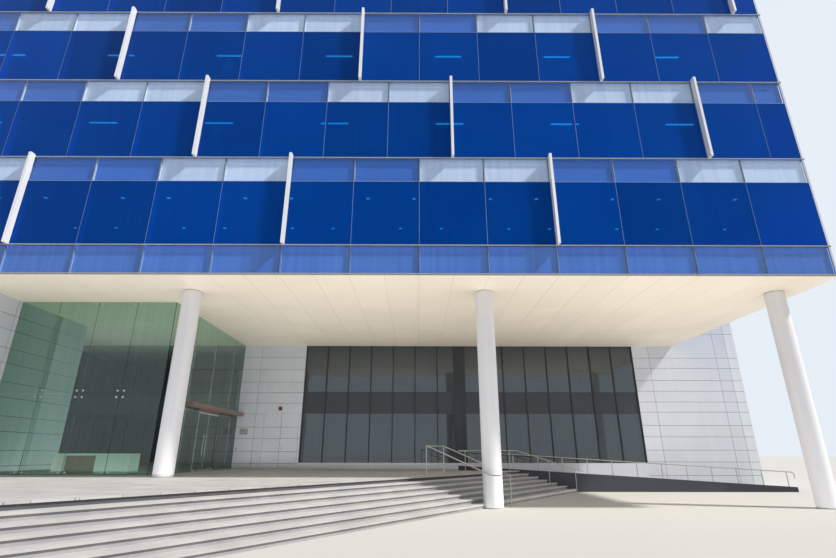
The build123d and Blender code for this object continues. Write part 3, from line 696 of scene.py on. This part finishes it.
def even_joints(begin, end, pitch):
    """Evenly spaced joints between two ends, a pitch apart or a little less."""
    count = max(1, math.ceil((end - begin) / pitch))
    return [begin + (end - begin) * i / count for i in range(1, count)]


soffit_level = soffit_low.z
end_low, end_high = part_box("tower_end_walls")
back_low, back_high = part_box("back_wall_right")
strip_right = back_low.x
wall_thickness = 0.3

# Courses of the right wall, from the soffit's underside, in panel widths
right_courses = (0.252, 0.017, -0.272, -0.509, -0.789, -1.033, -1.274, -1.5, -1.787, -2.028,
                 -2.309, -2.551)
right_levels = [soffit_level + panel_width * level for level in right_courses]
low_course = 0.62
ground_levels = [0.0, low_course]
ground_levels += sorted(level for level in right_levels if level < back_high.z - least_course)
corner_strip_width, next_cassette_width = 0.55, 0.68
corner_trim = end_high.x - corner_strip_width
seam_right = strip_right + 0.91
walls = bmesh.new()
clad_wall(walls, back_low, back_high, [(("y", -1), [seam_right], [*ground_levels, back_high.z])])
tower_pitch = 2.7
known_course = right_levels[1]
upper_levels = courses(0.0, end_high.z, known_course)
tower_levels = [*ground_levels, *[z for z in upper_levels if z > known_course + least_course]]
front_uprights = [corner_trim - next_cassette_width, corner_trim]
clad_wall(walls, end_low, Vector((end_high.x, end_low.y + wall_thickness, end_high.z)),
          [(("y", -1), front_uprights, tower_levels)], trim_from=corner_trim)
clad_wall(walls, Vector((end_low.x, end_high.y - wall_thickness, end_low.z)), end_high,
          [(("y", 1), front_uprights, tower_levels)])
# The cassettes past corner_trim, by the tower's front corner, are coloured lighter than the rest.
lighter_corner_cassettes = weathered("lighter_corner_strip", (0.70, 0.74, 0.78), (0.62, 0.66, 0.71), 0.42,
                         streaks=0.3)
right_finishes = [cladding_white, cladding_backing, lighter_corner_cassettes]
right_walls = finished("tower_and_right_wall_cladding", walls, right_finishes, edge=0.002)
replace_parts(right_walls, "back_wall_right", "tower_end_walls")

side_low, side_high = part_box("tower_side_walls")
walls = bmesh.new()
side_joints = even_joints(side_low.y, side_high.y, tower_pitch)
clad_wall(walls, Vector((side_high.x - wall_thickness, side_low.y, side_low.z)), side_high,
          [(("x", 1), side_joints, tower_levels)])
roof_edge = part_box("parapet_coping")[1].z
above_roof = [roof_edge, *[z for z in tower_levels if z > roof_edge + least_course]]
clad_wall(walls, side_low, Vector((side_low.x + wall_thickness, side_high.y, side_high.z)),
          [(("x", -1), side_joints, above_roof)])
tower_sides = finished("tower_side_cladding", walls, [cladding_white, cladding_backing], edge=0.002)
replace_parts(tower_sides, "tower_side_walls")
paint_node("tower_floor_and_roof", cast_concrete)

# Courses of the entrance wall and the wing, measured the same way
left_courses = (-0.006, -0.269, -0.556, -0.84, -1.08, -1.312, -1.55, -1.835, -2.075, -2.346, -2.595)
left_levels = sorted(soffit_level + panel_width * level for level in left_courses)
entrance_low, entrance_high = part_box("entrance_wall")
sill_low, sill_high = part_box("service_door_lintel_and_sill")
frame_low, frame_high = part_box("service_door_frame")
shown_levels = [z for z in left_levels if podium_top + least_course < z < soffit_level - least_course]
entry_levels = [podium_top, *shown_levels, entrance_high.z]
beside_door = 0.44
walls = bmesh.new()
clad_wall(walls, entrance_low, Vector((frame_low.x, entrance_high.y, entrance_high.z)),
          [(("y", -1), [frame_low.x - beside_door], [0.0, *entry_levels])])
clad_wall(walls, Vector((frame_high.x, entrance_low.y, 0)), entrance_high,
          [(("y", -1), [], [0.0, *entry_levels])])
lintel_low = Vector((sill_low.x, sill_low.y, frame_high.z))
lintel_levels = [lintel_low.z, *[z for z in entry_levels if z > lintel_low.z + 0.08]]
clad_wall(walls, lintel_low, sill_high, [(("y", -1), [], lintel_levels)])
clad_wall(walls, sill_low, Vector((sill_high.x, sill_high.y, podium_top)), [])
entrance_walls = finished("entrance_wall_cladding", walls, [cladding_white, cladding_backing],
                          edge=0.002)
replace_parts(entrance_walls, "entrance_wall", "service_door_lintel_and_sill")

wing_low, wing_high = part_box("left_wing_walls")
lobby_left = wing_high.x
wing_levels = courses(wing_low.z, wing_high.z, left_levels[-2])
inner_length = 6.5
wing_front_pitch, wing_side_pitch = 1.6, 2.2
inner_end = wing_low.y + inner_length
walls = bmesh.new()
front_joints = even_joints(wing_low.x, lobby_left, wing_front_pitch)
clad_wall(walls, wing_low, Vector((lobby_left, wing_low.y + wall_thickness, wing_high.z)),
          [(("y", -1), front_joints, wing_levels)])
clad_wall(walls, Vector((lobby_left - wall_thickness, wing_low.y + wall_thickness, wing_low.z)),
          Vector((lobby_left, inner_end, wing_high.z)),
          [(("x", 1), even_joints(wing_low.y, inner_end, wing_side_pitch), wing_levels)])
clad_wall(walls, Vector((wing_low.x, wing_low.y + wall_thickness, wing_low.z)),
          Vector((wing_low.x + wall_thickness, wing_high.y, wing_high.z)),
          [(("x", -1), even_joints(wing_low.y, wing_high.y, wing_side_pitch), wing_levels)])
wing_walls = finished("left_wing_cladding", walls, [cladding_white, cladding_backing], edge=0.002)
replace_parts(wing_walls, "left_wing_walls")

rear_low, rear_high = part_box("rear_block_walls")
strip_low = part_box("window_strip_mullions")[0]
strip_left = entrance_high.x
side_panes, side_pane_width, side_setback = 6, 1.224, 12.6
side_strip_start = glass_low.y + side_setback
side_strip_end = side_strip_start + side_panes * side_pane_width
rear_levels = courses(rear_low.z, rear_high.z, left_levels[-2])
rear_inner = rear_high.y - wall_thickness
rear_end_pitch, rear_pitch = 1.6, 2.4
walls = bmesh.new()
clad_wall(walls, rear_low, Vector((rear_low.x + wall_thickness, side_strip_start, rear_high.z)),
          [(("x", -1), even_joints(rear_low.y, side_strip_start, rear_end_pitch), rear_levels)])
clad_wall(walls, Vector((rear_low.x, side_strip_end, rear_low.z)),
          Vector((rear_low.x + wall_thickness, rear_inner, rear_high.z)),
          [(("x", -1), [], rear_levels)])
clad_wall(walls, Vector((rear_low.x, rear_inner, rear_low.z)),
          Vector((strip_left, rear_high.y, rear_high.z)),
          [(("y", 1), even_joints(rear_low.x, strip_left, rear_pitch), rear_levels)])
clad_wall(walls, Vector((strip_right, rear_inner, rear_low.z)), rear_high,
          [(("y", 1), even_joints(strip_right, rear_high.x, rear_end_pitch), rear_levels)])
rear_walls = finished("rear_block_cladding", walls, [cladding_white, cladding_backing], edge=0.002)
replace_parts(rear_walls, "rear_block_walls")

# Tall windows: near-black aluminium uprights and bands with dark tinted glass between, the
# same on the rear and the left side.
strip_aluminium = weathered("black_aluminium", (0.030, 0.036, 0.042), (0.05, 0.055, 0.06), 0.35,
                            metallic=0.5, piece_tone=0.1)
strip_band = weathered("window_band", (0.022, 0.026, 0.036), (0.035, 0.040, 0.050), 0.3,
                       coat=0.1, piece_tone=0.08)
strip_glass = glazing("dark_window_glass", (0.14, 0.24, 0.30), (0.18, 0.28, 0.34), through=0.92,
                      shadow=(0.35, 0.45, 0.47), piece_tone=0.06, ior=1.8)
rear_glass = glazing("rear_window_glass", (0.10, 0.16, 0.18), (0.13, 0.20, 0.22), through=0.12,
                     shadow=(0.05, 0.07, 0.08), piece_tone=0.06)
paint_node("window_strip_mullions", strip_aluminium)
paint_node("window_strip_sills_and_bands", strip_band)
paint_node("window_strip_glass", strip_glass)
sill_zone = 0.5
sill_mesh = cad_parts["window_strip_sills_and_bands"].data
sill_mesh.materials.append(cladding_white)
sill_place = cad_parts["window_strip_sills_and_bands"].matrix_world
for polygon in sill_mesh.polygons:
    if (sill_place @ polygon.center).z < podium_top + sill_zone:
        polygon.material_index = 1
pane_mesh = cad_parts["window_strip_glass"].data
pane_mesh.materials.append(rear_glass)
pane_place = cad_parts["window_strip_glass"].matrix_world
for polygon in pane_mesh.polygons:
    if (pane_place @ polygon.center).y > back_high.y:
        polygon.material_index = 1

# Plinth: pale folded sheets that run on below the tall windows, in lengths with narrow gaps,
# fixed over the feet of the uprights.
plinth = bmesh.new()
plinth_top = podium_top + 0.292
plinth_thickness = 0.010
plinth_gap = 0.004
plinth_pitch = 3.7
plinth_joints = [strip_left, *even_joints(strip_left, strip_right, plinth_pitch), strip_right]
for begin, end in zip(plinth_joints, plinth_joints[1:]):
    block(plinth, (begin + plinth_gap, strip_low.y - plinth_thickness, 0.001),
          (end - plinth_gap, strip_low.y + 0.001, plinth_top))
finished("window_plinth", plinth, [cladding_white], edge=0.002)

# Lobby: toughened panes hung edge to edge, greenish in their depth, with open joints. The
# entrance portal and the track over its leaves are steel painted bronze.
lobby_glass = glazing("green_lobby_glass", (0.56, 0.82, 0.70), (0.50, 0.74, 0.63),
                      shadow=(0.75, 0.86, 0.82), strength=0.5)
paint_node("lobby_front_glass", lobby_glass)
paint_node("lobby_side_glass", lobby_glass)
bronze = weathered("bronze_paint", (0.24, 0.17, 0.14), (0.19, 0.135, 0.11), 0.38, metallic=0.15,
                   streaks=0.5)
paint_node("entrance_canopy", bronze)
paint_node("entrance_track", bronze)
paint_node("entrance_front_leaf", lobby_glass)
paint_node("entrance_rear_leaf", lobby_glass)

# Patch fittings: polished discs that clamp the corners of the lobby panes, four at each place
# where two joints cross, with a row along the floor and one under the soffit.
polished_steel = weathered("polished_steel", (0.72, 0.72, 0.71), (0.62, 0.62, 0.61), 0.18,
                           metallic=0.9)
pane_low, pane_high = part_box("lobby_front_glass")
lobby_pane_width = 1.6
lobby_joints = even_joints(pane_low.x, pane_high.x, lobby_pane_width)
crossing = podium_top + 2.862
from_joint, from_edge = 0.12, 0.09
disc_radius, disc_face_radius, disc_depth = 0.036, 0.030, 0.016
facing_front = Matrix.Rotation(math.pi / 2, 4, "X")
disc_rows = (pane_low.z + from_edge, crossing - from_joint, crossing + from_joint,
             pane_high.z - from_edge)
patches = bmesh.new()
for x in lobby_joints:
    for z in disc_rows:
        for offset in (-from_joint, from_joint):
            place = Matrix.Translation((x + offset, pane_low.y - disc_depth / 2, z)) @ facing_front
            bmesh.ops.create_cone(patches, cap_ends=True, segments=20, radius1=disc_radius,
                                  radius2=disc_face_radius, depth=disc_depth, matrix=place)
finished("patch_fittings", patches, [polished_steel])

# Entrance leaves: toughened glass held in a slim polished rail at head and foot, with a long
# pull bar standing off each leaf on two arms.
rail_height, rail_past_edge, rail_inset = 0.07, 0.003, 0.002
pull_from_edge, pull_low, pull_high, pull_half = 0.14, 0.65, 1.57, 0.015
pull_front, pull_back = 0.07, 0.045
arm_rises, arm_half, arm_length = (0.75, 1.45), 0.012, 0.05
for node, body, handle_end in (("entrance_front_leaf", "entrance_leaf_front", 1),
                               ("entrance_rear_leaf", "entrance_leaf_rear", 0)):
    leaf_low, leaf_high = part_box(node)
    trims = bmesh.new()
    for z in (leaf_low.z, leaf_high.z - rail_height):
        block(trims, (leaf_low.x - rail_past_edge, leaf_low.y + rail_inset, z),
              (leaf_high.x + rail_past_edge, leaf_high.y - rail_inset, z + rail_height))
    y = leaf_high.y - pull_from_edge if handle_end else leaf_low.y + pull_from_edge
    for rise in arm_rises:
        z = leaf_low.z + rise
        block(trims, (leaf_low.x - arm_length, y - arm_half, z),
              (leaf_low.x, y + arm_half, z + 2 * arm_half))
    block(trims, (leaf_low.x - pull_front, y - pull_half, leaf_low.z + pull_low),
          (leaf_low.x - pull_back, y + pull_half, leaf_low.z + pull_high))
    finished(f"{node}_rails_and_pull", trims, [polished_steel], body=body, edge=0.004)

# Reception counter: a low white desk, part solid and part open over a bronze back panel, near
# the front of the lobby.
desk_paint = weathered("desk_white", (0.80, 0.82, 0.80), (0.72, 0.74, 0.73), 0.35, coat=0.3)
desk = bmesh.new()
desk_corner = (pane_low.x + 2.0, pane_low.y + 1.0, podium_top)
desk_length, desk_width, desk_height, top_under = 2.9, 0.75, 0.74, 0.66
open_length, side_thickness, back_from_front = 1.6, 0.08, 0.62
for low, high, slot in (
        ((0, 0, top_under), (desk_length, desk_width, desk_height), 0),
        ((open_length, 0, 0), (desk_length, desk_width, top_under), 0),
        ((0, back_from_front, 0), (open_length, desk_width, top_under), 1),
        ((0, 0, 0), (side_thickness, back_from_front, top_under), 0)):
    block(desk, [start + step for start, step in zip(desk_corner, low)],
          [start + step for start, step in zip(desk_corner, high)], slot)
finished("reception_counter", desk, [desk_paint, bronze], edge=0.006)

# Service door: steel leaves faced with the same cassettes as the wall, so that the courses run
# through, each with a lever handle near the meeting edge.
door_white = weathered("door_white", (0.62, 0.65, 0.72), (0.56, 0.59, 0.66), 0.4, streaks=0.3)
lever_from_edge, lever_rise, lever_length = 0.09, 1.02, 0.12
lever_front, lever_back, lever_half = 0.055, 0.037, 0.009
spindle_half, spindle_length = 0.01, 0.05
plate_half, plate_depth, plate_below, plate_above = 0.022, 0.006, 0.10, 0.08
paint_node("service_door_frame", door_white)
for node, body, meeting in (("service_door_left_leaf", "service_door_left", 1),
                            ("service_door_right_leaf", "service_door_right", 0)):
    leaf_low, leaf_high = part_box(node)
    leaf = bmesh.new()
    inside = [z for z in entry_levels if leaf_low.z + least_course < z < leaf_high.z - least_course]
    block(leaf, leaf_low + Vector((0, cladding_depth, 0)), leaf_high, 1)
    margin = Vector((cladding_joint / 3, 0, 0))
    clad(leaf, leaf_low + margin, leaf_high - margin, ("y", -1), [],
         [leaf_low.z, *inside, leaf_high.z])
    door_leaf = finished(f"{node}_panelled", leaf, [door_white, cladding_backing], body=body,
                         edge=0.002)
    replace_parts(door_leaf, node)
    lever = bmesh.new()
    x = leaf_high.x - lever_from_edge if meeting else leaf_low.x + lever_from_edge
    sign = -1 if meeting else 1
    z = podium_top + lever_rise
    block(lever, (x - plate_half, leaf_low.y - plate_depth, z - plate_below),
          (x + plate_half, leaf_low.y, z + plate_above))
    block(lever, (x - spindle_half, leaf_low.y - spindle_length, z - spindle_half),
          (x + spindle_half, leaf_low.y, z + spindle_half))
    begin, end = sorted((x, x + sign * lever_length))
    block(lever, (begin, leaf_low.y - lever_front, z - lever_half),
          (end, leaf_low.y - lever_back, z + lever_half))
    finished(f"{node}_lever", lever, [polished_steel], body=body, edge=0.003)

# Small things screwed to the entrance wall: a red moulded sounder box, a blank plate of grey
# metal and a key switch.
sounder_red = weathered("sounder_red", (0.13, 0.012, 0.016), (0.10, 0.012, 0.014), 0.35, coat=0.4)
plate_grey = weathered("plate_grey", (0.42, 0.44, 0.44), (0.36, 0.38, 0.38), 0.3, metallic=0.6)
fittings = bmesh.new()
wall_y = entrance_low.y
sounder = (-6.127, 3.961, 0.085, 0.10, 0.07, 0)
blank_plate = (-7.992, 2.771, 0.22, 0.15, 0.012, 1)
key_switch = (-8.30, 1.90, 0.04, 0.06, 0.03, 1)
for x, z, half_width, half_height, depth, slot in (sounder, blank_plate, key_switch):
    block(fittings, (x - half_width, wall_y - depth, z - half_height),
          (x + half_width, wall_y, z + half_height), slot)
finished("entrance_wall_fittings", fittings, [sounder_red, plate_grey], edge=0.006)

# Podium, steps and ramp: granite blocks with pale treads and paving laid on them, and a kerb of
# dark render beside the ramp. The step blocks, whose fronts are the risers, are painted a darker
# grey than the treads: painted shade on the risers.
dark_stone = weathered("dark_granite", (0.075, 0.078, 0.09), (0.11, 0.11, 0.12), 0.6,
                       grain=0.006, bump=0.2, streaks=0.0, patch=0.8)
pale_stone = weathered("pale_granite", (0.47, 0.465, 0.455), (0.39, 0.385, 0.38), 0.65,
                       grain=0.006, bump=0.2, streaks=0.0, patch=0.8)
kerb_render = weathered("dark_kerb_render", (0.033, 0.035, 0.049), (0.046, 0.049, 0.062), 0.7,
                        grain=0.01, bump=0.3, streaks=0.6)
# Risers: the treads' pale granite, painted a darker grey as their shade; the streaks are dirt.
riser_stone_painted_shade = weathered("riser_granite_painted_shade", (0.36, 0.36, 0.37), (0.28, 0.28, 0.30), 0.65,
                        grain=0.006, bump=0.2, streaks=0.3, patch=0.8)
paving_slabs = weathered("paving_slabs", (0.47, 0.465, 0.455), (0.39, 0.385, 0.38), 0.65,
                         grain=0.006, bump=0.2, streaks=0.0, patch=0.8)
slab_nodes, slab_links = paving_slabs.node_tree.nodes, paving_slabs.node_tree.links
slab_shader = slab_nodes["Principled BSDF"]
slab_place = slab_nodes.new("ShaderNodeTexCoord")
slab_pattern = slab_nodes.new("ShaderNodeTexBrick")
slab_pattern.inputs["Scale"].default_value = 1.0
slab_pattern.inputs["Brick Width"].default_value = 1.2
slab_pattern.inputs["Row Height"].default_value = 0.6
slab_pattern.inputs["Mortar Size"].default_value = 0.005
slab_pattern.inputs["Color1"].default_value = (1, 1, 1, 1)
slab_pattern.inputs["Color2"].default_value = (0.88, 0.88, 0.88, 1)
slab_pattern.inputs["Mortar"].default_value = (0.35, 0.34, 0.33, 1)
slab_links.new(slab_place.outputs["Object"], slab_pattern.inputs["Vector"])
stone_colour = slab_shader.inputs["Base Color"].links[0].from_socket
jointed = slab_nodes.new("ShaderNodeMix")
jointed.data_type = "RGBA"
jointed.blend_type = "MULTIPLY"
jointed.inputs["Factor"].default_value = 1.0
slab_links.new(stone_colour, jointed.inputs["A"])
slab_links.new(slab_pattern.outputs["Color"], jointed.inputs["B"])
slab_links.new(jointed.outputs["Result"], slab_shader.inputs["Base Color"])
paint_node("podium", dark_stone)
paint_node("step_blocks", riser_stone_painted_shade)
paint_node("podium_paving", paving_slabs)
paint_node("step_treads", pale_stone)
paint_node("ramp", pale_stone)
paint_node("ramp_wall", kerb_render)

# Handrails: bent and welded tube of brushed stainless steel, on posts of the same tube that
# stand on the treads and beside the ramp.
stainless = weathered("brushed_stainless", (0.52, 0.50, 0.47), (0.42, 0.40, 0.38), 0.3,
                      metallic=0.9, grain=0.003)
paint_node("ramp_handrail", stainless)
paint_node("stair_handrails", stainless)

# Roof: a slab under pale membrane, turned up inside the parapet, and the same on the tower.
roof_membrane = weathered("roof_membrane", (0.50, 0.51, 0.51), (0.36, 0.37, 0.36), 0.8, patch=4.0,
                          streaks=0.0, grain=0.03, bump=0.3)
paint_node("roof_upstand", roof_membrane)
surface_match = 0.01
for node, level in (("floor_slabs", roof_level), ("tower_floor_and_roof", end_high.z)):
    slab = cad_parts[node]
    slab.data.materials.append(roof_membrane)
    for polygon in slab.data.polygons:
        if abs((slab.matrix_world @ polygon.center).z - level) < surface_match:
            polygon.material_index = 1
